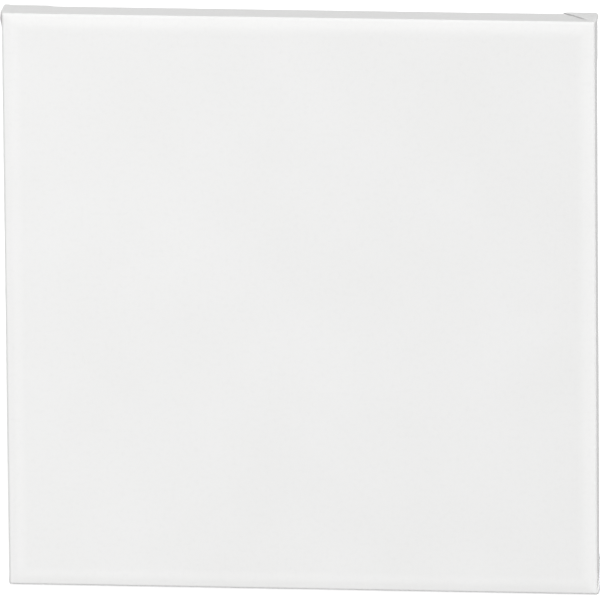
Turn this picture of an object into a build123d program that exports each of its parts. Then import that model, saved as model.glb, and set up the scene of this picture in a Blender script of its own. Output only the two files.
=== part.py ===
"""A stretched canvas: primed cotton pulled over four keyed pine stretcher bars and stapled behind.

Axes: X to the right, Y to the back, Z up. The painting face looks along -Y.
The origin is the middle of the bottom of the whole object's box.
Everything is modelled about the centre of the frame, then lifted to stand on Z = 0.
"""

import os

from build123d import *

# Overall size, the depth taken over the cloth
SIDE = 300.0
CLOTH_DEPTH = 17.0

# Canvas
CLOTH = 0.5
BACK_MARGIN = 22.0
FOLD_STACK = 1.6
FOLD_EASE = 0.8
CORNER_RADIUS = 1.5
FRONT_RADIUS = 2.2

# Fits
SPREAD_ROOM = 0.5
FACE_GAP = 0.1
JOINT_GAP = 0.1
MITRE_GAP = 0.05
KEY_GAP = 0.08

# Staples
WIRE_WIDTH = 0.7
WIRE_THICKNESS = 0.45
STAPLE_CROWN = 10.0
STAPLE_LEG = 6.4
STAPLE_PITCH = 48.0
STAPLES_PER_SIDE = 5
STAPLE_INSET = 12.0
STAPLE_HOLE_ROOM = 0.3
CROWN_GAP = 0.05
CORNER_STAPLE_LEG = 4.6
CORNER_STAPLE_FROM_SIDE = 14.0
CORNER_STAPLE_INSET = 5.5

# Stretcher bars
BAR_WIDTH = 38.0
BEAD_WIDTH = 4.6
BEAD_FALL = 0.38
BEAD_RADIUS = 2.0
BEAD_STEP = 1.9
BEAD_STEP_RUN = 1.6
BEVEL_DROP = 1.0
BACK_EASE = 1.0
CHEEK = 2.7
TONGUE_LAYER = 2.8

# Keys
KEY_LENGTH = 38.0
KEY_SHOWN = 11.0
KEY_WIDE = 13.0
KEY_NARROW = 4.0
KEY_EASE = 1.2

# Derived places, measured from the centre of the frame
HALF = SIDE / 2
DEPTH = CLOTH_DEPTH + FOLD_STACK + CROWN_GAP + WIRE_THICKNESS
CLOTH_FRONT = -DEPTH / 2
CLOTH_BACK = CLOTH_FRONT + CLOTH_DEPTH
BAR_FRONT = CLOTH_FRONT + CLOTH + FACE_GAP
BAR_BACK = CLOTH_BACK - CLOTH - FACE_GAP
BAR_OUTER = HALF - CLOTH - SPREAD_ROOM
BAR_INNER = BAR_OUTER - BAR_WIDTH
BEVEL_TOP = BAR_FRONT + BEAD_STEP
BEVEL_FOOT = BEVEL_TOP + BEVEL_DROP
BACK_LAYER = (BAR_BACK - CHEEK - TONGUE_LAYER, BAR_BACK - CHEEK)
FRONT_LAYER = (BEVEL_FOOT + CHEEK, BEVEL_FOOT + CHEEK + TONGUE_LAYER)
KEY_TAPER = (KEY_WIDE - KEY_NARROW) / KEY_LENGTH
KEY_FOOT = BAR_INNER - KEY_SHOWN
REACH = 2 * SIDE

SIDES = ("top", "right", "bottom", "left")


def prism(outline, y_range):
    """A straight prism along Y over an outline of (x, z) points."""
    low, high = y_range
    plane = Plane(origin=(0, low, 0), x_dir=(1, 0, 0), z_dir=(0, -1, 0))
    face = plane * make_face(Polyline(*outline, close=True))
    return extrude(face, amount=low - high)


def flip(shape):
    """The mirror image, left for right."""
    return mirror(shape, about=Plane.YZ)


def set_in_frame(shape, quarter_turns):
    """Turn a shape made for the top bar to another side, and stand the frame on Z = 0."""
    return Pos(0, 0, HALF) * Rot(0, 90 * quarter_turns, 0) * shape


def key_width_at(z):
    """Width of the key's taper, or of the line that continues it, at a height."""
    return KEY_WIDE - KEY_TAPER * (z - KEY_FOOT)


def bar_profile():
    """Section of the top bar in the YZ plane: a sloping bead outside, bevelled away inside."""
    corners = [
        (BAR_FRONT + BEAD_FALL, BAR_OUTER),
        (BAR_FRONT, BAR_OUTER - BEAD_WIDTH),
        (BEVEL_TOP, BAR_OUTER - BEAD_WIDTH - BEAD_STEP_RUN),
        (BEVEL_FOOT, BAR_INNER),
        (BAR_BACK, BAR_INNER),
        (BAR_BACK, BAR_OUTER),
    ]
    face = Plane.YZ * make_face(Polyline(*corners, close=True))
    radii = [
        (BAR_FRONT + BEAD_FALL, BAR_OUTER, BEAD_RADIUS),
        (BAR_FRONT, BAR_OUTER - BEAD_WIDTH, BEAD_STEP_RUN),
        (BAR_BACK, BAR_INNER, BACK_EASE),
        (BAR_BACK, BAR_OUTER, BACK_EASE),
    ]
    for y, z, radius in radii:
        corner = face.vertices().sort_by_distance(Vector(0, y, z))[0]
        face = fillet(corner, radius)
    return face


def mitre_waste(y_range):
    """What the 45 degree cut removes from the right end of the top bar, in one layer."""
    return prism(
        [
            (BAR_INNER - SIDE - MITRE_GAP, BAR_INNER - SIDE),
            (BAR_OUTER + SIDE - MITRE_GAP, BAR_OUTER + SIDE),
            (REACH, BAR_INNER - SIDE),
        ],
        y_range,
    )


def slot_waste(y_range):
    """The open slot at the right end of the top bar, with the tapered seat of its key."""
    seat = [(BAR_INNER - key_width_at(z) - KEY_GAP, z) for z in (BAR_INNER - SIDE, BAR_OUTER + SIDE)]
    return prism([*seat, (REACH, BAR_OUTER + SIDE), (REACH, BAR_INNER - SIDE)], y_range)


def end_waste(tongue, slot):
    """Everything that the joint removes from the right end, with its tongue and slot layers."""
    spared = (tongue[0] + JOINT_GAP, tongue[1] - JOINT_GAP)
    layers = [(-DEPTH, spared[0]), (spared[1], DEPTH)]
    waste = slot_waste(slot)
    for layer in layers:
        waste += mitre_waste(layer)
    return waste


def stretcher_bar():
    """The top bar: a front-layer tongue at its right end and a back-layer one at its left."""
    bar = extrude(bar_profile(), amount=BAR_OUTER, both=True)
    bar -= end_waste(FRONT_LAYER, BACK_LAYER)
    bar -= flip(end_waste(BACK_LAYER, FRONT_LAYER))
    return bar


def key(layer):
    """A thin hardwood wedge in the top bar's right slot, narrow end outwards."""
    head = BAR_INNER - KEY_GAP
    top = KEY_FOOT + KEY_LENGTH
    outline = [
        (head, KEY_FOOT),
        (head, top),
        (BAR_INNER - key_width_at(top), top),
        (BAR_INNER - key_width_at(KEY_FOOT), KEY_FOOT),
    ]
    wedge = prism(outline, (layer[0] + JOINT_GAP, layer[1] - JOINT_GAP))
    return chamfer(wedge.edges().filter_by(Axis.Y), KEY_EASE)


def staple_places():
    """Centres of the staples along the top bar."""
    middle = (STAPLES_PER_SIDE - 1) / 2
    return [STAPLE_PITCH * (number - middle) for number in range(STAPLES_PER_SIDE)]


def corner_place():
    """Centre of the staple that holds the folded corner of the cloth at the top bar's left end."""
    return CORNER_STAPLE_FROM_SIDE - HALF


def staple(leg, rise, inset):
    """One wire staple: a flat crown along X, raised behind the cloth, and two legs."""
    back = CLOTH_BACK + rise + CROWN_GAP + WIRE_THICKNESS
    height = BAR_OUTER - inset
    blank = Pos(0, back - leg / 2, height) * Box(STAPLE_CROWN, leg, WIRE_WIDTH)
    inside = Box(STAPLE_CROWN - 2 * WIRE_WIDTH, leg, WIRE_WIDTH)
    return blank - Pos(0, back - leg / 2 - WIRE_THICKNESS, height) * inside


def staple_row():
    """The staples of the top bar as separate solids, the last of them in the corner fold."""
    margin = staple(STAPLE_LEG, 0, STAPLE_INSET)
    corner = staple(CORNER_STAPLE_LEG, FOLD_STACK, CORNER_STAPLE_INSET)
    row = [Pos(x, 0, 0) * margin for x in staple_places()]
    row.append(Pos(corner_place(), 0, 0) * corner)
    return Part() + row


def leg_holes(places, inset):
    """Clearance holes through the top margin of the cloth for the legs of some staples."""
    width = WIRE_WIDTH + 2 * STAPLE_HOLE_ROOM
    half_span = (STAPLE_CROWN - WIRE_WIDTH) / 2
    hole = Pos(0, CLOTH_BACK, BAR_OUTER - inset) * Box(width, 4 * FOLD_STACK, width)
    return [Pos(x + way * half_span, 0, 0) * hole for x in places for way in (-1, 1)]


def all_leg_holes():
    """The leg holes of all four sides, with those of the corner folds."""
    row = leg_holes(staple_places(), STAPLE_INSET)
    row += leg_holes([corner_place()], CORNER_STAPLE_INSET)
    return [Rot(0, 90 * turn, 0) * hole for turn in range(len(SIDES)) for hole in row]


def corner_folds():
    """The thick squares behind the four corners, where the cloth is folded over itself."""
    side = BACK_MARGIN - FOLD_EASE
    middle = HALF - FOLD_EASE - side / 2
    fold = Pos(0, CLOTH_BACK + FOLD_STACK / 2, 0) * Box(side, FOLD_STACK, side)
    fold = chamfer(fold.faces().sort_by(Axis.Y)[-1].edges(), FOLD_EASE)
    return [Pos(x, 0, z) * fold for x in (-middle, middle) for z in (-middle, middle)]


def rounded_block(half_side, y_range, front_radius, corner_radius):
    """A square block with rounded corners and a rounded front rim."""
    low, high = y_range
    middle = (low + high) / 2
    block = Pos(0, middle, 0) * Box(2 * half_side, high - low, 2 * half_side)
    block = fillet(block.edges().filter_by(Axis.Y), corner_radius)
    return fillet(block.faces().sort_by(Axis.Y)[0].edges(), front_radius)


def canvas_sheet():
    """The primed cloth: face, four edges and the margin turned over behind the bars."""
    outer = rounded_block(HALF, (CLOTH_FRONT, CLOTH_BACK), FRONT_RADIUS, FRONT_RADIUS + CLOTH)
    inner = rounded_block(
        HALF - CLOTH,
        (CLOTH_FRONT + CLOTH, CLOTH_BACK - CLOTH),
        FRONT_RADIUS - CLOTH,
        CORNER_RADIUS - CLOTH,
    )
    window_side = SIDE - 2 * BACK_MARGIN
    window = Pos(0, CLOTH_BACK, 0) * Box(window_side, 4 * CLOTH, window_side)
    return outer - inner - window + corner_folds() - all_leg_holes()


def key_name(bar, neighbour):
    """Name of the key in a bar's slot, from its corner and the way that it slides."""
    upright = "vertical" if bar in ("top", "bottom") else "horizontal"
    corner = "_".join(sorted((bar, neighbour), key=("top", "bottom", "left", "right").index))
    return f"key_{corner}_{upright}"


def all_parts():
    """Every node of the object and its shape, in place."""
    parts = {"canvas_sheet": set_in_frame(canvas_sheet(), 0)}
    for turn, side in enumerate(SIDES):
        after = SIDES[(turn + 1) % len(SIDES)]
        before = SIDES[turn - 1]
        parts[f"stretcher_bar_{side}"] = set_in_frame(stretcher_bar(), turn)
        parts[f"staples_{side}"] = set_in_frame(staple_row(), turn)
        parts[key_name(side, after)] = set_in_frame(key(BACK_LAYER), turn)
        parts[key_name(side, before)] = set_in_frame(flip(key(FRONT_LAYER)), turn)
    return parts


os.makedirs("parts", exist_ok=True)
for name, shape in all_parts().items():
    export_step(shape, f"parts/{name}.step")
    size = shape.bounding_box().size
    print(f"{name}: {size.X:.1f} x {size.Y:.1f} x {size.Z:.1f} mm, {len(shape.solids())} solids")
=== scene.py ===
"""The looks of a stretched canvas: folded primed cloth, pine bars, beech keys and wire staples."""

import math

import bmesh
import bpy
import numpy as np
from mathutils import Matrix, Vector


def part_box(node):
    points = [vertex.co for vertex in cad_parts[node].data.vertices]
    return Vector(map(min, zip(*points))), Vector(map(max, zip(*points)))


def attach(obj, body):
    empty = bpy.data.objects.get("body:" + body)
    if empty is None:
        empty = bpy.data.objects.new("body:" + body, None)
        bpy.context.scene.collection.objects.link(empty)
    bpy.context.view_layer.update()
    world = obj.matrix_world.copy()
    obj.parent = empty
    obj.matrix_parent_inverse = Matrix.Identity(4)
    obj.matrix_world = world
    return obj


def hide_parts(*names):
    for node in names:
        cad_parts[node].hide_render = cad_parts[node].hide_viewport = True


MM = 0.001

# The cloth: its thickness, the rise from one layer to the next, how much is turned over behind, and
# how far the folded corners stand behind the single margin
CLOTH = 0.38 * MM
PLY = 0.40 * MM
MARGIN = 22.0 * MM
FOLD_STACK = 1.6 * MM
WEAVE_PITCH = 0.66 * MM
WEAVE_WANDER = 0.7 * MM
STAPLE_PITCH = 48.0 * MM

# Where the cloth turns over the frame's front, back and corner edges
EDGE_RADIUS = 1.0 * MM
BACK_RADIUS = 0.8 * MM
CORNER_RADIUS = 0.6 * MM

# The sloping band of the face over the bars' beads, and the hollow just inside it. The last is a painted
# highlight:
# the grey that the face's colour is multiplied by further in than the band, so that the band looks
# lighter
BEAD_WIDTH = 7.4 * MM
BEAD_TURN = 4.2 * MM
BEAD_SLOPE = 0.13
BEAD_DIP = 0.06 * MM
DIP_RUN = 2.5 * MM
CORNER_MEET = 1.6 * MM
FACE_PAST_BAND_HIGHLIGHT = 0.97

# The face inside the band: its slack, and the pull of each staple
SAG = 0.06 * MM
SAG_WAVES = 0.07 * MM
SAG_REACH = 34 * MM
STAPLE_PULL = 0.045 * MM
PULL_FROM = (3 * MM, 10 * MM)
PULL_REACH = 22 * MM

# The folds in the corners. Slack is how far a crease puffs up, in layers, and a slack pleat comes to
# its full height sooner, further forward
CREASE_ROUND = 0.9 * MM
CREASE_SLACK = {"top_left": 0.7, "top_right": 0.05, "bottom_right": 0.75, "bottom_left": 0.4}
CREASE_REACH = 2.4 * MM
PLEAT_FROM = 0.2 * MM
TIGHT_PLEAT = 9 * MM
SLACK_GAIN = 5 * MM
PRESSED_FLAT = 0.8
MITRE_SLACK = 0.15
TUCK = 1.2 * MM
CORNER_LIFT = 4 * MM
FLAP_END = 27 * MM
FLAP_RISE = (-1.0 * MM, 1.4 * MM)

# Unevenness of the sides and of the turned-over margin
SIDE_WAVES = 0.05 * MM
CORNER_WAVES = 0.09 * MM
CORNER_WAVES_REACH = (26 * MM, 4 * MM)
CORNER_WAVES_FROM = (3 * MM, 10 * MM)
LOOSE_LIFT = 0.5 * MM
LOOSE_FROM = 13 * MM
LOOSE_CURL = 0.7
RAGGED = 0.035
PRESSED = 0.15 * MM
PRESSED_REACH = 1.5 * MM

# Threads that have frayed out of the cut edges
THREADS_PER_SIDE = 22
THREAD_LENGTH = (1.2 * MM, 5.5 * MM)
THREAD_RADIUS = 0.10 * MM
THREAD_STEPS = 8
CORNER_CLEAR = 30 * MM

# Steps between the lines at which the sheet is sampled
FINE_STEP = 0.2 * MM
FINE_REACH = 2.0 * MM
STRIP_STEP = 0.6 * MM
FACE_STEP = 3.5 * MM

# Timber and wire. A knot is its middle, in metres along, through and across the grain, and its radius
PALE_PINE = (0.76, 0.56, 0.34)
DARK_PINE = (0.47, 0.27, 0.115)
PINE_RINGS = 2.9 * MM
PINE_ARRIS = 0.3 * MM
PALE_BEECH = (0.63, 0.43, 0.27)
DARK_BEECH = (0.44, 0.265, 0.14)
BEECH_RINGS = 1.4 * MM
BEECH_ARRIS = 0.2 * MM
KNOTS = {"top": ((0.062, 0.007, 0.2715), 3.4 * MM), "left": ((-0.075, 0.007, -0.1325), 2.7 * MM)}
KNOT_SHAPE = (0.55, 0.25, 1.0)
WIRE = 0.45 * MM
WIRE_BEND = 1.1 * MM
WIRE_CORNERS = 16
WIRE_SQUARENESS = 0.35
WELD = 0.002 * MM
SHARP_EDGE = 0.5
SMOOTH_EDGE = math.radians(32)

# Camera, with angles in degrees and lengths in metres
VIEW_AZIMUTH = 5.5
VIEW_ELEVATION = 15.4
VIEW_ROLL = -0.53
VIEW_DISTANCE = 9.0
FRAME_WIDTH = 0.3037
AIM = (-0.0009, 0.0, 0.1501)
SENSOR = 36.0
CAMERA_REACH = 200

# Light, as the grey that a white card would give back. A lamp is its place, its size and its level
WORLD_LEVEL = 0.27
LAMPS = {
    "key": ((5.24, -8.72, 6.15), 4.5, 0.755),
    "fill": ((-1.2, -1.15, 0.2), 1.1, 0.30),
    "behind": ((-1.4, 3.6, 0.9), 2.2, 0.55),
}
LAMP_TARGET = (0, 0, 0.15)
FLOOR_GLOW = 0.76
FLOOR_DROP = 1.15 * MM
FLOOR_HALF = 30.0

SIDES = ("top", "right", "bottom", "left")

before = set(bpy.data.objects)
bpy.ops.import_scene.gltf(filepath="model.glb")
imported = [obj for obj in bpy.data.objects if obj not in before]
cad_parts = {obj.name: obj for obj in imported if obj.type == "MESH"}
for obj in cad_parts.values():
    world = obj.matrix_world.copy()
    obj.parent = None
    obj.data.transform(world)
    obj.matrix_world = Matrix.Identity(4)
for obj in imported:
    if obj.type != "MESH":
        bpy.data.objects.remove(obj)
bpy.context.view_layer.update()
cloth_low, cloth_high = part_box("canvas_sheet")


# ---------------------------------------------------------------- numbers


def ease(low, high, value):
    """0 below low, 1 above high, and a smooth rise between them."""
    t = np.clip((value - low) / (high - low), 0, 1)
    return t * t * (3 - 2 * t)


def soft_min(a, b, radius):
    """The smaller of two distances, rounded off where they are nearly equal."""
    blend = np.clip(0.5 + 0.5 * (b - a) / radius, 0, 1)
    return b + (a - b) * blend - radius * blend * (1 - blend)


def fold_height(past, lowest, slack):
    """Plies under a double fold, past being the way along the cloth from its slanting crease.

    The ply before the crease lies lowest, and the one past it rides over, a little puffed up.
    """
    away = np.abs(past) / math.sqrt(2)
    puff = slack * np.exp(-away / CREASE_REACH)
    return lowest + 0.5 + puff + np.sign(past) * ease(0, CREASE_ROUND, away) * (0.5 + puff)


def waves(x, y, seed, count=7, longest=0.16, shortest=0.045):
    """Smooth unevenness between -1 and 1, as a sum of a few sine waves."""
    rng = np.random.default_rng(seed)
    total = np.zeros_like(x)
    for _ in range(count):
        angle, phase = rng.uniform(0, 2 * math.pi, 2)
        length = rng.uniform(shortest, longest)
        along = x * math.cos(angle) + y * math.sin(angle)
        total += np.sin(2 * math.pi * along / length + phase)
    return total / count


def new_object(name, data):
    """A new object in the scene."""
    made = bpy.data.objects.new(name, data)
    bpy.context.scene.collection.objects.link(made)
    return made


# ---------------------------------------------------------------- materials


class Nodes:
    """A short way to write a material's node tree."""

    def __init__(self, name):
        self.material = bpy.data.materials.new(name)
        self.material.use_nodes = True
        self.tree = self.material.node_tree
        self.shader = self.tree.nodes["Principled BSDF"]

    def add(self, kind, inputs=(), **settings):
        node = self.tree.nodes.new(kind)
        for name, value in settings.items():
            setattr(node, name, value)
        for socket, value in dict(inputs).items():
            if isinstance(value, bpy.types.NodeSocket):
                self.tree.links.new(value, node.inputs[socket])
            else:
                node.inputs[socket].default_value = value
        return node

    def math(self, operation, *values):
        node = self.add("ShaderNodeMath", dict(enumerate(values)), operation=operation)
        return node.outputs[0]

    def place(self, vector, scale=(1, 1, 1), rotation=(0, 0, 0), location=(0, 0, 0)):
        inputs = {"Vector": vector, "Scale": scale, "Rotation": rotation, "Location": location}
        return self.add("ShaderNodeMapping", inputs).outputs[0]

    def noise(self, vector, scale=1.0, detail=3.0, roughness=0.5):
        inputs = {"Vector": vector, "Scale": scale, "Detail": detail, "Roughness": roughness}
        return self.add("ShaderNodeTexNoise", inputs).outputs["Fac"]

    def ramp(self, value, stops):
        node = self.add("ShaderNodeValToRGB", {"Fac": value})
        elements = node.color_ramp.elements
        while len(elements) < len(stops):
            elements.new(0.5)
        for element, (place, colour) in zip(elements, stops):
            element.position = place
            element.color = (*colour, 1)
        return node.outputs["Color"]

    def mix(self, share, first, second, blend="MIX"):
        node = self.add("ShaderNodeMix", data_type="RGBA", blend_type=blend)
        for socket, value in ((0, share), (6, first), (7, second)):
            if isinstance(value, bpy.types.NodeSocket):
                self.tree.links.new(value, node.inputs[socket])
            elif socket == 0:
                node.inputs[socket].default_value = value
            else:
                node.inputs[socket].default_value = (*value, 1)
        return node.outputs[2]

    def bump(self, height, strength, distance, below=None):
        inputs = {"Height": height, "Strength": strength, "Distance": distance}
        if below is not None:
            inputs["Normal"] = below
        return self.add("ShaderNodeBump", inputs).outputs[0]

    def finish(self, colour, roughness, normal, **sockets):
        for socket, value in (("Base Color", colour), ("Roughness", roughness), ("Normal", normal)):
            if isinstance(value, bpy.types.NodeSocket):
                self.tree.links.new(value, self.shader.inputs[socket])
            else:
                self.shader.inputs[socket].default_value = value
        for socket, value in sockets.items():
            self.shader.inputs[socket.replace("_", " ")].default_value = value
        return self.material


def weave_height(nodes):
    """Height of a plain weave on the sheet's flat coordinates, and those coordinates.

    Each thread has an arched section and waves over and under the threads that it crosses.
    """
    arch_depth, wave_height, merge = -3.2, 0.5, 0.15
    flat = nodes.add("ShaderNodeUVMap", uv_map="flat").outputs[0]
    drift = nodes.add("ShaderNodeTexNoise", {"Vector": flat, "Scale": 90.0, "Detail": 2.0})
    shift = nodes.add("ShaderNodeSeparateXYZ", {"Vector": drift.outputs["Color"]})
    split = nodes.add("ShaderNodeSeparateXYZ", {"Vector": flat})
    counts = []
    for axis in (0, 1):
        moved = nodes.math("MULTIPLY_ADD", shift.outputs[axis], WEAVE_WANDER, split.outputs[axis])
        counts.append(nodes.math("DIVIDE", moved, WEAVE_PITCH))
    threads = []
    for here, other, start in ((0, 1, 0.0), (1, 0, 1.0)):
        across = nodes.math("SUBTRACT", nodes.math("FRACT", counts[here]), 0.5)
        arch = nodes.math("MULTIPLY", nodes.math("MULTIPLY", across, across), arch_depth)
        number = nodes.math("ADD", nodes.math("FLOOR", counts[here]), start)
        along = nodes.math("ADD", counts[other], nodes.math("SUBTRACT", number, 0.5))
        wave = nodes.math("COSINE", nodes.math("MULTIPLY", along, math.pi))
        threads.append(nodes.math("MULTIPLY_ADD", wave, wave_height, arch))
    return nodes.math("SMOOTH_MAX", *threads, merge), flat


def gesso(half_face):
    """White acrylic ground: matte, faintly uneven, with the weave half filled.

    Its colour is painted a little whiter over the bars' beads: a painted highlight on the band where the
    cloth lies over the wood.
    """
    nodes = Nodes("gesso")
    weave, flat = weave_height(nodes)
    coat = nodes.noise(flat, scale=420.0, detail=4.0, roughness=0.6)
    strokes = nodes.noise(nodes.place(flat, scale=(30, 240, 1)), roughness=0.55)
    cloud = nodes.noise(flat, scale=14.0)
    tint = nodes.ramp(cloud, [(0.3, (0.912, 0.912, 0.905)), (0.7, (0.932, 0.932, 0.928))])
    pores = nodes.ramp(coat, [(0.30, (0.95, 0.95, 0.95)), (0.50, (1, 1, 1))])
    colour = nodes.mix(0.35, tint, pores, "MULTIPLY")
    split = nodes.add("ShaderNodeSeparateXYZ", {"Vector": flat})
    sides = [nodes.math("ABSOLUTE", split.outputs[axis]) for axis in (0, 1)]
    # Painted highlight: the colour is lighter over the bead band than further in on the face
    inside = nodes.math("SUBTRACT", half_face, nodes.math("MAXIMUM", *sides))
    band_highlight_fade = nodes.math("DIVIDE", inside, 2 * BEAD_WIDTH)
    white = nodes.ramp(band_highlight_fade, [(0.35, (1, 1, 1)), (0.65, (FACE_PAST_BAND_HIGHLIGHT, FACE_PAST_BAND_HIGHLIGHT, FACE_PAST_BAND_HIGHLIGHT))])
    colour = nodes.mix(1.0, colour, white, "MULTIPLY")
    rough = nodes.math("MULTIPLY_ADD", coat, 0.18, 0.66)
    fine = nodes.bump(weave, strength=0.28, distance=0.05 * MM)
    grit = nodes.bump(coat, strength=0.25, distance=0.06 * MM, below=fine)
    normal = nodes.bump(strokes, strength=0.18, distance=0.10 * MM, below=grit)
    return nodes.finish(colour, rough, normal, Specular_IOR_Level=0.35)


def raw_cotton():
    """The unprimed side of the cloth: unbleached cotton with slubs and seed flecks."""
    nodes = Nodes("raw_cotton")
    weave, flat = weave_height(nodes)
    warp = nodes.noise(nodes.place(flat, scale=(110, 1500, 1)), detail=1.0)
    weft = nodes.noise(nodes.place(flat, scale=(1500, 110, 1)), detail=1.0)
    threads = nodes.math("ADD", warp, weft)
    cloud = nodes.noise(flat, scale=22.0)
    unbleached = [(0.72, (0.70, 0.635, 0.52)), (0.92, (0.79, 0.735, 0.63)), (1.16, (0.84, 0.79, 0.69))]
    base = nodes.ramp(threads, unbleached)
    tint = nodes.ramp(cloud, [(0.3, (0.92, 0.91, 0.89)), (0.7, (1, 1, 1))])
    colour = nodes.mix(0.8, base, tint, "MULTIPLY")
    # Painted shade: the colour is darkened in the hollows between the threads of the weave
    weave_hollow_shade = nodes.ramp(nodes.math("ADD", weave, 0.6), [(0.0, (0.52, 0.48, 0.42)), (0.65, (1, 1, 1))])
    colour = nodes.mix(0.75, colour, weave_hollow_shade, "MULTIPLY")
    flecks = nodes.noise(flat, scale=1100.0, detail=1.0)
    seeds = nodes.ramp(flecks, [(0.765, (0, 0, 0)), (0.79, (1, 1, 1))])
    colour = nodes.mix(seeds, colour, (0.30, 0.20, 0.11))
    fuzz = nodes.bump(threads, strength=0.3, distance=0.08 * MM)
    normal = nodes.bump(weave, strength=0.9, distance=0.12 * MM, below=fuzz)
    return nodes.finish(colour, 0.92, normal, Specular_IOR_Level=0.2, Sheen_Weight=0.15)


def knot_reach(nodes, grain, place, size):
    """Distance from a knot's middle in knot radii, stretched along and through the board."""
    moved = nodes.place(grain, location=tuple(-c for c in place))
    scaled = nodes.place(moved, scale=tuple(share / size for share in KNOT_SHAPE))
    return nodes.add("ShaderNodeVectorMath", {0: scaled}, operation="LENGTH").outputs["Value"]


def growth_rings(nodes, own, ring_pitch, bend):
    """Late-wood bands of a board, wavy along the grain. bend shifts them round a knot."""
    slow = nodes.noise(nodes.place(own, scale=(2.6, 14, 14)), detail=2.0)
    wiggle = nodes.noise(nodes.place(own, scale=(16, 90, 90)), detail=2.0)
    split = nodes.add("ShaderNodeSeparateXYZ", {"Vector": own})
    across = nodes.math("MULTIPLY_ADD", slow, 0.034, split.outputs[2])
    across = nodes.math("MULTIPLY_ADD", wiggle, 0.0016, across)
    depth = nodes.math("MULTIPLY_ADD", split.outputs[1], 0.45, across)
    depth = nodes.math("MULTIPLY_ADD", bend, 0.010, depth)
    turns = nodes.math("DIVIDE", depth, ring_pitch)
    width = nodes.noise(nodes.math("FLOOR", turns), scale=7.3, detail=0.0)
    late = ((0.0, 0.16), (0.45, 0.05), (0.80, 0.55), (0.93, 1.0), (1.0, 0.16))
    bands = nodes.ramp(nodes.math("FRACT", turns), [(stop, (grey,) * 3) for stop, grey in late])
    return nodes.math("MULTIPLY", bands, nodes.math("MULTIPLY_ADD", width, 0.9, 0.25))


def add_knot(nodes, colour, away):
    """The colour of a board with a dark knot in it, away being the distance from its middle in radii."""
    heart = nodes.ramp(away, [(0.0, (1, 1, 1)), (0.55, (0.75, 0.75, 0.75)), (1.0, (0, 0, 0))])
    rings = nodes.math("SINE", nodes.math("MULTIPLY", away, 30.0))
    core = nodes.ramp(rings, [(0.0, (0.20, 0.085, 0.03)), (1.0, (0.33, 0.15, 0.06))])
    return nodes.mix(heart, colour, core)


def timber(name, along, seed, pale, dark, ring_pitch, knot=None):
    """Planed, unfinished wood with its grain along X or Z: rings, fibres, resin flecks and a knot."""
    nodes = Nodes(name)
    place = nodes.add("ShaderNodeTexCoord").outputs["Object"]
    turn = (0, 0, 0) if along == "X" else (0, math.pi / 2, 0)
    grain = nodes.place(place, rotation=turn)
    own = nodes.place(grain, location=(seed * 0.37, seed * 0.11, seed * 0.23))
    bend = 0.0
    if knot is not None:
        away = knot_reach(nodes, grain, *knot)
        spread = nodes.math("MULTIPLY", nodes.math("MULTIPLY", away, away), -0.16)
        bend = nodes.math("EXPONENT", spread)
    bands = growth_rings(nodes, own, ring_pitch, bend)
    fibres = nodes.noise(nodes.place(own, scale=(40, 2600, 2600)), detail=2.0, roughness=0.6)
    streaks = nodes.noise(nodes.place(own, scale=(12, 420, 420)), roughness=0.65)
    blotch = nodes.noise(nodes.place(own, scale=(5, 16, 16)), detail=2.0)
    flecks = nodes.noise(nodes.place(own, scale=(260, 5200, 5200)), detail=0.0)
    tone = nodes.math("MULTIPLY_ADD", bands, 0.85, nodes.math("MULTIPLY", streaks, 0.36))
    colour = nodes.ramp(tone, [(0.14, pale), (0.90, dark)])
    light = nodes.ramp(blotch, [(0.3, (0.90, 0.87, 0.83)), (0.7, (1, 1, 1))])
    colour = nodes.mix(0.8, colour, light, "MULTIPLY")
    hairs = nodes.ramp(fibres, [(0.38, (0.72, 0.66, 0.58)), (0.56, (1, 1, 1))])
    colour = nodes.mix(0.5, colour, hairs, "MULTIPLY")
    resin = nodes.ramp(flecks, [(0.73, (1, 1, 1)), (0.79, (0.62, 0.48, 0.34))])
    colour = nodes.mix(0.6, colour, resin, "MULTIPLY")
    if knot is not None:
        colour = add_knot(nodes, colour, away)
    rough = nodes.math("MULTIPLY_ADD", fibres, 0.25, 0.50)
    fine = nodes.bump(fibres, strength=0.4, distance=0.07 * MM)
    normal = nodes.bump(bands, strength=0.25, distance=0.06 * MM, below=fine)
    return nodes.finish(colour, rough, normal, Specular_IOR_Level=0.35)


def zinc():
    """Zinc-plated staple wire, a little dull and scratched."""
    nodes = Nodes("zinc_wire")
    place = nodes.add("ShaderNodeTexCoord").outputs["Object"]
    scratch = nodes.noise(nodes.place(place, scale=(900, 4000, 900)), detail=2.0)
    dull = nodes.noise(place, scale=700.0)
    colour = nodes.ramp(dull, [(0.3, (0.50, 0.51, 0.53)), (0.7, (0.68, 0.69, 0.70))])
    rough = nodes.math("MULTIPLY_ADD", scratch, 0.25, 0.24)
    normal = nodes.bump(scratch, strength=0.2, distance=0.02 * MM)
    return nodes.finish(colour, rough, normal, Metallic=1.0)


# ---------------------------------------------------------------- the cloth


def thread_lines(half_face, wall):
    """Distances from the middle of the sheet at which it is sampled, closer at each fold."""
    near = np.arange(0, FINE_REACH + FINE_STEP / 2, FINE_STEP)
    margin = np.linspace(FINE_REACH, MARGIN, round((MARGIN - FINE_REACH) / STRIP_STEP) + 1)[1:]
    from_fold = np.concatenate([near, margin])
    across = wall - 2 * FINE_REACH
    middle = FINE_REACH + np.linspace(0, across, round(across / STRIP_STEP) + 1)[1:-1]
    flat_half = half_face - MARGIN
    face = np.linspace(0, flat_half, round(flat_half / FACE_STEP) + 1)[:-1]
    half = np.concatenate(
        [
            face,
            (half_face - from_fold)[::-1],
            half_face + near[1:],
            half_face + middle,
            half_face + wall - near[::-1],
            half_face + wall + from_fold[1:],
        ]
    )
    return np.concatenate([-half[:0:-1], half])


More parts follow.
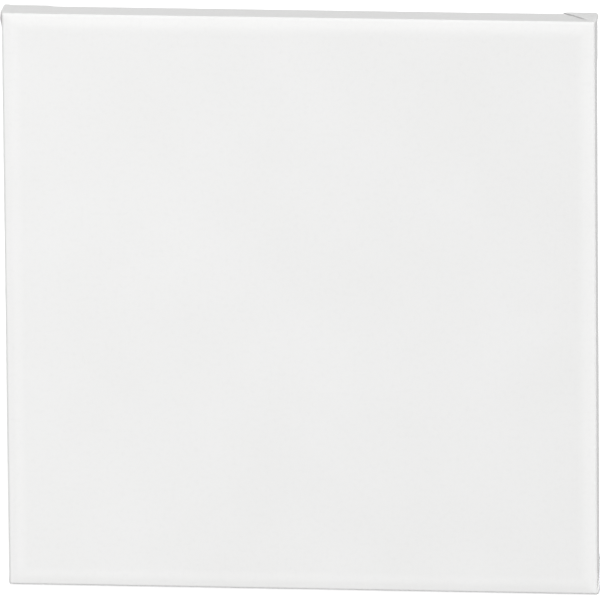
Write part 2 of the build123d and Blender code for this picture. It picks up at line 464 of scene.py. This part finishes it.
def loose_boxes(node_name):
    """The lowest and highest corner of each separate solid of a CAD node."""
    shape = bmesh.new()
    shape.from_mesh(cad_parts[node_name].data)
    bmesh.ops.remove_doubles(shape, verts=shape.verts, dist=WELD)
    boxes = []
    left = set(shape.verts)
    while left:
        seen = set()
        todo = [left.pop()]
        while todo:
            vert = todo.pop()
            seen.add(vert)
            todo += [e.other_vert(vert) for e in vert.link_edges if e.other_vert(vert) not in seen]
        left -= seen
        places = np.array([vert.co[:] for vert in seen])
        boxes.append((places.min(0), places.max(0)))
    shape.free()
    return boxes


class FoldedSheet:
    """A square sheet folded round a square frame, with its corners laid in pleats like a pinwheel.

    A point of the flat sheet is (s, t) from its middle. In a corner, q runs out over the side that
    is wrapped last, and p over the side that the pleat lies on; both are measured from the front
    fold. The top left and bottom right pleats lie on the left and right, the others on the top and
    bottom. All is worked out in one quarter, where both sides are positive, and then mirrored.
    """

    def __init__(self, low, high):
        self.half = (high.x - low.x - CLOTH) / 2
        self.centre_z = (high.z + low.z) / 2
        self.front = low.y + CLOTH / 2
        self.back = high.y - FOLD_STACK - CLOTH / 2
        self.wall = self.back - self.front
        self.lines = thread_lines(self.half, self.wall)
        self.s, self.t = np.meshgrid(self.lines, self.lines, indexing="ij")
        past_x, past_z = np.abs(self.s) - self.half, np.abs(self.t) - self.half
        self.swapped = (self.s > 0) == (self.t > 0)
        self.p = np.where(self.swapped, past_z, past_x)
        self.q = np.where(self.swapped, past_x, past_z)
        self.side = (self.p > 0) & (self.q <= 0)
        self.strip = (self.p <= 0) & (self.q > 0)
        self.pleat = (self.p > 0) & (self.q > 0)
        self.reach = np.maximum(np.maximum(self.p, self.q), 0)
        self.behind = np.maximum(self.reach - self.wall, 0)
        self.under = self.strip & (self.behind > -self.p)
        self.down = self.way_down()

    def way_down(self):
        """How far each sample lies from the last side's edge, with the folded edges tucked in."""
        p, q = self.p, self.q
        down = np.where(self.pleat, np.minimum(p, q), np.where(self.under, -p, np.maximum(-q, 0)))
        tuck = TUCK * ease(0, TUCK, self.behind + p) * ease(TUCK / 6, 2 * TUCK, self.behind)
        down = np.where(self.side | self.pleat | self.under, np.sqrt(down**2 + tuck**2), down)
        return np.where(self.strip & ~self.under, self.behind, down)

    def sharp_place(self):
        """Where each sample lies on a sharp-edged box: along the last side, back, along the other."""
        y = self.front + np.minimum(self.reach, self.wall)
        turned = self.side | self.pleat | self.under
        x = self.half - np.where(turned, self.behind, np.maximum(-self.p, 0))
        return x, y, self.half - self.down

    def crease_slack(self):
        """The slack of the corner that each sample is nearest to."""
        lower = np.where(self.s > 0, CREASE_SLACK["bottom_right"], CREASE_SLACK["bottom_left"])
        upper = np.where(self.s > 0, CREASE_SLACK["top_right"], CREASE_SLACK["top_left"])
        return np.where(self.t > 0, upper, lower)

    def plies(self):
        """How many thicknesses of cloth lie under each sample."""
        p, q = self.p, self.q
        loose = self.crease_slack()
        grow = ease(PLEAT_FROM, TIGHT_PLEAT - SLACK_GAIN * loose, self.reach)
        slack = loose * (1 - PRESSED_FLAT * ease(self.wall - 2 * MM, self.wall + MM, self.reach))
        pleat = fold_height(q - p, 1, slack) * grow
        inwards = np.where(self.under, self.behind, -p)
        edge = fold_height(np.maximum(q, 0), 1, slack) * grow * ease(CORNER_LIFT, 0, inwards)
        mitre = fold_height(-p - self.behind, 3, MITRE_SLACK) * ease(FLAP_END, MARGIN, -p)
        over = ease(*FLAP_RISE, np.where(self.under, self.down, q - self.wall))
        count = np.where(self.pleat, pleat, 0.0)
        return np.where(self.strip, edge + (mitre - edge) * over, count)

    def face_depth(self):
        """How far the face lies behind the front of the box: its sloping rim, then its slack."""
        from_edge = np.maximum(soft_min(-self.p, -self.q, CORNER_MEET), 0)
        rim = BEAD_SLOPE * (BEAD_WIDTH - from_edge - BEAD_TURN / 2)
        turn = BEAD_SLOPE * np.maximum(BEAD_WIDTH - from_edge, 0) ** 2 / (2 * BEAD_TURN)
        fall = np.where(from_edge < BEAD_WIDTH - BEAD_TURN, rim, turn)
        slack = ease(BEAD_WIDTH, SAG_REACH, from_edge)
        dip = BEAD_DIP * ease(BEAD_WIDTH - BEAD_TURN, BEAD_WIDTH + DIP_RUN, from_edge)
        sag = slack * (SAG + SAG_WAVES * waves(self.s, self.t, seed=11))
        along = np.where(self.p > self.q, self.t, self.s)
        near = ease(*PULL_FROM, from_edge) * np.exp(-from_edge / PULL_REACH)
        tension = STAPLE_PULL * near * np.cos(2 * math.pi * along / STAPLE_PITCH)
        return fall + dip + sag + tension

    def unevenness(self):
        """Small waves across the sides and the pleats."""
        wide = SIDE_WAVES * waves(self.s, self.t, seed=23)
        corner = ease(*CORNER_WAVES_REACH, np.minimum(np.abs(self.p), np.abs(self.q)))
        tight = CORNER_WAVES * waves(self.s, self.t, seed=29, count=8, longest=0.022, shortest=0.007)
        return (wide + tight * corner * ease(*CORNER_WAVES_FROM, self.reach)) * (self.reach > 0)

    def margin_relief(self, place, staples_at):
        """How far the turned-over margin lifts between the staples and is pressed in under them."""
        far = np.abs(np.where(np.abs(self.s) > np.abs(self.t), self.t, self.s))
        between = 0.5 - 0.5 * np.cos(2 * math.pi * far / STAPLE_PITCH)
        alone = ease(CORNER_CLEAR, CORNER_CLEAR + 6 * MM, self.half - far)
        loose = LOOSE_LIFT * ease(LOOSE_FROM, MARGIN, self.behind) * (0.35 + between) * alone
        curl = 1 + LOOSE_CURL * waves(self.s, self.t, seed=31, longest=0.05, shortest=0.015)
        pressed = np.zeros_like(far)
        for low, high in staples_at:
            beyond = np.maximum(np.maximum(low - place, place - high), 0)
            distance_squared = beyond[..., 0] ** 2 + beyond[..., 2] ** 2
            pressed += PRESSED * np.exp(-distance_squared / PRESSED_REACH**2)
        return (loose * curl - pressed) * (self.behind > 0)

    def points(self, staples_at):
        """The middle surface of the cloth, as an array of points."""
        x, y, z = self.sharp_place()
        frayed = waves(self.s, self.t, seed=5, count=9, longest=0.05, shortest=0.011)
        ragged = RAGGED * self.behind * frayed
        x = x - np.where(self.side, ragged, 0)
        z = z - np.where(self.strip & (self.behind < -self.p), ragged, 0)
        middle = ease(self.front, self.front + 4 * MM, y) * ease(self.back, self.back - 4 * MM, y)
        edge = EDGE_RADIUS + (BACK_RADIUS - EDGE_RADIUS) * ease(self.front, self.back, y)
        radius = edge + (CORNER_RADIUS - edge) * middle
        core_x = np.minimum(x, self.half - radius)
        core_z = np.minimum(z, self.half - radius)
        core_y = np.clip(y, self.front + EDGE_RADIUS, self.back - BACK_RADIUS)
        way = np.stack([x - core_x, y - core_y, z - core_z], -1)
        way = way / np.maximum(np.linalg.norm(way, axis=-1, keepdims=True), 1e-9)
        facing_front, facing_back = way[..., 1] < -0.999, way[..., 1] > 0.999
        rise = np.where(facing_back, BACK_RADIUS, np.where(facing_front, EDGE_RADIUS, radius))
        rise = rise + self.plies() * PLY + self.unevenness()
        place = np.stack([core_x, core_y, core_z], -1) + way * rise[..., None]
        settle = np.exp(-self.reach / (1.5 * MM))
        place[..., 1] += self.face_depth() * settle
        place[self.swapped] = place[self.swapped][:, [2, 1, 0]]
        place[..., 0] *= np.where(self.s < 0, -1, 1)
        place[..., 2] = self.centre_z + place[..., 2] * np.where(self.t < 0, -1, 1)
        place[..., 1] += self.margin_relief(place, staples_at)
        return place

    def creases(self):
        """Which samples lie on a slanting fold of a pleat or a mitre."""
        exact = 1e-7
        pleat = (np.abs(self.p - self.q) < exact) & (self.p > -exact)
        return pleat | ((np.abs(self.q - self.wall + self.p) < exact) & (self.p < exact))

    def faces(self):
        """The sheet's quads, with the ones that a slanting fold crosses cut in two along it."""
        n = len(self.lines)
        index = np.arange(n * n).reshape(n, n)
        crease = self.creases()
        quads = []
        for i in range(n - 1):
            for j in range(n - 1):
                a, b = index[i, j], index[i + 1, j]
                c, d = index[i + 1, j + 1], index[i, j + 1]
                if crease[i, j] and crease[i + 1, j + 1]:
                    quads += [(a, b, c), (a, c, d)]
                elif crease[i + 1, j] and crease[i, j + 1]:
                    quads += [(a, b, d), (b, c, d)]
                else:
                    quads.append((a, b, c, d))
        return quads


def vertex_normals(points, faces):
    """Unit normals at the points, from the faces round them."""
    mesh = bpy.data.meshes.new("normals")
    mesh.from_pydata(points.tolist(), [], faces)
    mesh.update()
    normals = np.zeros(len(points) * 3, np.float32)
    mesh.vertices.foreach_get("normal", normals)
    bpy.data.meshes.remove(mesh)
    return normals.reshape(-1, 3)


def steadied(normals, crease):
    """Normals averaged along the slanting folds, where the cloth turns back on itself."""
    field = normals.reshape(*crease.shape, 3).copy()
    field[~crease] = 0
    for _ in range(4):
        total = field.copy()
        for down, along in ((1, 1), (1, -1), (-1, 1), (-1, -1)):
            total += np.roll(field, (down, along), (0, 1))
        total[~crease] = 0
        field = total / np.maximum(np.linalg.norm(total, axis=-1, keepdims=True), 1e-9)
    return np.where(crease.reshape(-1, 1), field.reshape(-1, 3), normals)


def join_rings(shape, rings):
    """Add faces between neighbouring rings of a swept tube, and close its two ends."""
    for first, second in zip(rings, rings[1:]):
        for k in range(len(first)):
            m = (k + 1) % len(first)
            shape.faces.new((first[k], first[m], second[m], second[k]))
    shape.faces.new(reversed(rings[0]))
    shape.faces.new(rings[-1])


def tube(shape, path, radius, sides=6):
    """Add a thin tapering tube along some points to a bmesh."""
    rings = []
    for number, point in enumerate(path):
        before, after = path[max(number - 1, 0)], path[min(number + 1, len(path) - 1)]
        turn = (after - before).to_track_quat("Z", "Y")
        width = radius * (1 - 0.55 * number / len(path))
        angles = [2 * math.pi * k / sides for k in range(sides)]
        ring = [point + turn @ Vector((math.cos(a), math.sin(a), 0)) * width for a in angles]
        rings.append([shape.verts.new(corner) for corner in ring])
    join_rings(shape, rings)


def thread_path(rng, root, inward, lowest):
    """Points along a loose thread that starts at root, curls a little and lies on the bar behind."""
    aside = Vector((0, 1, 0)).cross(inward)
    length = rng.uniform(*THREAD_LENGTH)
    lean, curl = rng.normal(0, 0.35), rng.normal(0, 0.9)
    lift = rng.uniform(0.0, 0.35)
    path = []
    for step in range(THREAD_STEPS + 1):
        way = step / THREAD_STEPS
        bend = 0.6 * (lean * way + curl * way * way)
        point = root + (inward * way + aside * bend) * length
        point.y = max(point.y + lift * length * math.sin(math.pi * way), lowest)
        path.append(point)
    return path


def cut_threads(sheet, place, material):
    """Loose threads that have frayed out of the cloth's cut edges, over the backs of the bars."""
    rng = np.random.default_rng(7)
    last = len(sheet.lines) - 1
    inner = np.nonzero(np.abs(sheet.lines) < sheet.half - CORNER_CLEAR)[0]
    inwards = ((0, 0, -1), (-1, 0, 0), (0, 0, 1), (1, 0, 0))
    shape = bmesh.new()
    for edge, inward in enumerate(inwards):
        for _ in range(THREADS_PER_SIDE):
            near = int(rng.choice(inner))
            row, column = ((near, last), (last, near), (near, 0), (0, near))[edge]
            root = Vector(place[row, column])
            path = thread_path(rng, root, Vector(inward), sheet.back - 0.05 * MM)
            tube(shape, path, THREAD_RADIUS)
    mesh = bpy.data.meshes.new("cut_threads")
    shape.to_mesh(mesh)
    shape.free()
    mesh.materials.append(material)
    mesh.polygons.foreach_set("use_smooth", [True] * len(mesh.polygons))
    return new_object("cut_threads", mesh)


def add_flat_map(mesh, sheet):
    """Give each point of the mesh its place on the flat sheet, in metres."""
    flat = np.stack([sheet.s, sheet.t], -1).reshape(-1, 2)
    corners = np.zeros(len(mesh.loops), np.int32)
    mesh.loops.foreach_get("vertex_index", corners)
    layer = mesh.uv_layers.new(name="flat")
    layer.data.foreach_set("uv", flat[corners % len(flat)].astype(np.float32).ravel())


def sheet_mesh(sheet, place):
    """The primed side, the raw side and the cut edges of a sheet whose middle surface is place."""
    middle = place.reshape(-1, 3)
    faces = sheet.faces()
    normals = steadied(vertex_normals(middle, faces), sheet.creases())
    primed = middle + normals * CLOTH / 2
    raw = middle - normals * CLOTH / 2
    count = len(middle)
    index = np.arange(count).reshape(place.shape[:2])
    rim = np.concatenate([index[:-1, 0], index[-1, :-1], index[:0:-1, -1], index[0, :0:-1]])
    rim_faces = [(b, a, a + count, b + count) for a, b in zip(rim, np.roll(rim, -1))]
    raw_faces = [tuple(v + count for v in reversed(face)) for face in faces]
    mesh = bpy.data.meshes.new("canvas")
    mesh.from_pydata(np.concatenate([primed, raw]).tolist(), [], [*faces, *raw_faces, *rim_faces])
    slots = [0] * len(faces) + [1] * (len(raw_faces) + len(rim_faces))
    mesh.polygons.foreach_set("material_index", slots)
    mesh.polygons.foreach_set("use_smooth", [True] * len(slots))
    add_flat_map(mesh, sheet)
    mesh.update()
    return mesh


def canvas():
    """One continuous sheet of primed cloth, its frayed threads, and the length of its flat side."""
    sheet = FoldedSheet(cloth_low, cloth_high)
    staples_at = [ends for side in SIDES for ends in loose_boxes(f"staples_{side}")]
    place = sheet.points(staples_at)
    mesh = sheet_mesh(sheet, place)
    cotton = raw_cotton()
    mesh.materials.append(gesso(sheet.half))
    mesh.materials.append(cotton)
    size = float(sheet.lines[-1] - sheet.lines[0])
    return new_object("canvas", mesh), cut_threads(sheet, place, cotton), size


# ---------------------------------------------------------------- timber and wire


def softened(node_name, material, ease_width):
    """A copy of a wooden CAD node with its saw-cut arrises taken off."""
    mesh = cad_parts[node_name].data.copy()
    shape = bmesh.new()
    shape.from_mesh(mesh)
    bmesh.ops.remove_doubles(shape, verts=shape.verts, dist=WELD)
    flat = math.radians(0.5)
    bmesh.ops.dissolve_limit(shape, angle_limit=flat, verts=shape.verts, edges=shape.edges)
    sharp = [e for e in shape.edges if len(e.link_faces) == 2 and e.calc_face_angle() > SHARP_EDGE]
    bmesh.ops.bevel(
        shape, geom=sharp, offset=ease_width, segments=2, profile=0.6, affect="EDGES", clamp_overlap=True
    )
    shape.to_mesh(mesh)
    shape.free()
    mesh.materials.clear()
    mesh.materials.append(material)
    mesh.polygons.foreach_set("use_smooth", [True] * len(mesh.polygons))
    mesh.set_sharp_from_angle(angle=SMOOTH_EDGE)
    return new_object(node_name + "_eased", mesh)


def staple_path(low, high):
    """The middle of a staple's wire, from one point over its rounded crown to the other.

    Each point is (along the crown, back).
    """
    bend = WIRE_BEND
    start, end = low[0] + WIRE / 2, high[0] - WIRE / 2
    crown = high[1] - WIRE / 2
    turns = [math.radians(a) for a in range(15, 90, 15)]
    path = [(start, low[1]), (start, crown - bend)]
    path += [(start + bend * (1 - math.cos(a)), crown - bend * (1 - math.sin(a))) for a in turns]
    path += [(start + bend, crown), (end - bend, crown)]
    path += [(end - bend * (1 - math.sin(a)), crown - bend * (1 - math.cos(a))) for a in turns]
    path += [(end, crown - bend), (end, low[1])]
    return path


def wire_section(width):
    """A flattened wire's outline with rounded corners, as (outwards, sideways)."""
    outline = []
    for angle in np.linspace(0, 2 * math.pi, WIRE_CORNERS, endpoint=False):
        pair = []
        for share, half in ((math.cos(angle), WIRE / 2), (math.sin(angle), width / 2)):
            pair.append(math.copysign(abs(share) ** WIRE_SQUARENESS, share) * half)
        outline.append(pair)
    return outline


def staple_mesh(shape, low, high):
    """Sweep a flattened wire along a staple's legs and crown, into a bmesh."""
    wide = 0 if high[0] - low[0] > high[2] - low[2] else 2
    other = 2 - wide
    middle = (low[other] + high[other]) / 2
    section = wire_section(high[other] - low[other])
    path = staple_path((low[wide], low[1]), (high[wide], high[1]))
    rings = []
    for i, (along, back) in enumerate(path):
        before, after = path[max(i - 1, 0)], path[min(i + 1, len(path) - 1)]
        way = Vector((after[0] - before[0], after[1] - before[1])).normalized()
        ring = []
        for outwards, sideways in section:
            place = [0.0, 0.0, 0.0]
            place[wide] = along - way.y * outwards
            place[1] = back + way.x * outwards
            place[other] = middle + sideways
            ring.append(shape.verts.new(place))
        rings.append(ring)
    join_rings(shape, rings)


def staples(node_name, material):
    """All the staples of one side, as rounded wire."""
    shape = bmesh.new()
    for low, high in loose_boxes(node_name):
        staple_mesh(shape, low, high)
    bmesh.ops.recalc_face_normals(shape, faces=shape.faces)
    mesh = bpy.data.meshes.new(node_name + "_wire")
    shape.to_mesh(mesh)
    shape.free()
    mesh.materials.append(material)
    mesh.polygons.foreach_set("use_smooth", [True] * len(mesh.polygons))
    return new_object(node_name + "_wire", mesh)


# ---------------------------------------------------------------- the scene


def add_camera():
    """A long lens a little to the right of the object and above it."""
    azimuth, elevation, roll = (math.radians(a) for a in (VIEW_AZIMUTH, VIEW_ELEVATION, VIEW_ROLL))
    level = Vector((math.sin(azimuth), -math.cos(azimuth), 0))
    out = level * math.cos(elevation) + Vector((0, 0, math.sin(elevation)))
    flat_right = Vector((math.cos(azimuth), math.sin(azimuth), 0))
    flat_up = out.cross(flat_right)
    right = flat_right * math.cos(roll) + flat_up * math.sin(roll)
    up = flat_up * math.cos(roll) - flat_right * math.sin(roll)
    data = bpy.data.cameras.new("camera")
    data.sensor_width = SENSOR
    data.lens = SENSOR * VIEW_DISTANCE / FRAME_WIDTH
    data.clip_end = CAMERA_REACH
    camera = new_object("camera", data)
    place = Vector(AIM) + out * VIEW_DISTANCE
    camera.matrix_world = Matrix.Translation(place) @ Matrix((right, up, out)).transposed().to_4x4()
    bpy.context.scene.camera = camera


def add_light(name, place, size, level):
    """A soft square lamp that the camera doesn't see, as bright as makes a white card facing it level."""
    data = bpy.data.lights.new(name, "AREA")
    data.shape = "SQUARE"
    data.size = size
    away = Vector(place) - Vector(LAMP_TARGET)
    data.energy = level * (math.pi * away.length) ** 2
    lamp = new_object(name, data)
    lamp.location = place
    lamp.rotation_euler = away.to_track_quat("Z", "Y").to_euler()
    lamp.visible_camera = False


def add_floor():
    """A plain white floor just under the lowest fold, which adds no light to the object."""
    nodes = Nodes("floor")
    place = nodes.add("ShaderNodeTexCoord").outputs["Object"]
    patches = nodes.noise(place, scale=3.0)
    tone = nodes.ramp(patches, [(0.0, (0.545, 0.545, 0.545)), (1.0, (0.555, 0.555, 0.555))])
    grit = nodes.bump(nodes.noise(place, scale=900.0), strength=0.05, distance=0.05 * MM)
    material = nodes.finish(tone, 0.9, grit)
    nodes.shader.inputs["Emission Color"].default_value = (1, 1, 1, 1)
    nodes.shader.inputs["Emission Strength"].default_value = FLOOR_GLOW
    mesh = bpy.data.meshes.new("floor")
    corners = [(x * FLOOR_HALF, y * FLOOR_HALF, 0) for x, y in ((-1, -1), (1, -1), (1, 1), (-1, 1))]
    mesh.from_pydata(corners, [], [(0, 1, 2, 3)])
    mesh.materials.append(material)
    floor = new_object("floor", mesh)
    floor.location.z = -FLOOR_DROP
    floor.visible_diffuse = False


def add_world():
    """An even white surround."""
    world = bpy.data.worlds.new("surround")
    world.use_nodes = True
    background = world.node_tree.nodes["Background"]
    background.inputs["Color"].default_value = (1, 1, 1, 1)
    background.inputs["Strength"].default_value = WORLD_LEVEL
    bpy.context.scene.world = world
    bpy.context.scene.view_settings.view_transform = "Standard"
    bpy.context.scene.view_settings.look = "None"


add_camera()
add_world()
add_floor()
for name, (place, size, level) in LAMPS.items():
    add_light(name, place, size, level)

cloth, threads, cloth_size = canvas()
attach(cloth, "canvas")
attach(threads, "canvas")
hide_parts("canvas_sheet")

wire = zinc()
for number, side in enumerate(SIDES):
    along = "X" if side in ("top", "bottom") else "Z"
    pine = timber(f"pine_{side}", along, number + 1, PALE_PINE, DARK_PINE, PINE_RINGS, KNOTS.get(side))
    bar = softened(f"stretcher_bar_{side}", pine, PINE_ARRIS)
    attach(bar, f"bar_{side}")
    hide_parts(f"stretcher_bar_{side}")
    row = staples(f"staples_{side}", wire)
    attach(row, f"bar_{side}")
    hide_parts(f"staples_{side}")

for number, node_name in enumerate(sorted(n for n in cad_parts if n.startswith("key_"))):
    along = "Z" if node_name.endswith("vertical") else "X"
    beech = timber(f"beech_{number}", along, number + 11, PALE_BEECH, DARK_BEECH, BEECH_RINGS)
    wedge = softened(node_name, beech, BEECH_ARRIS)
    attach(wedge, node_name)
    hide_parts(node_name)
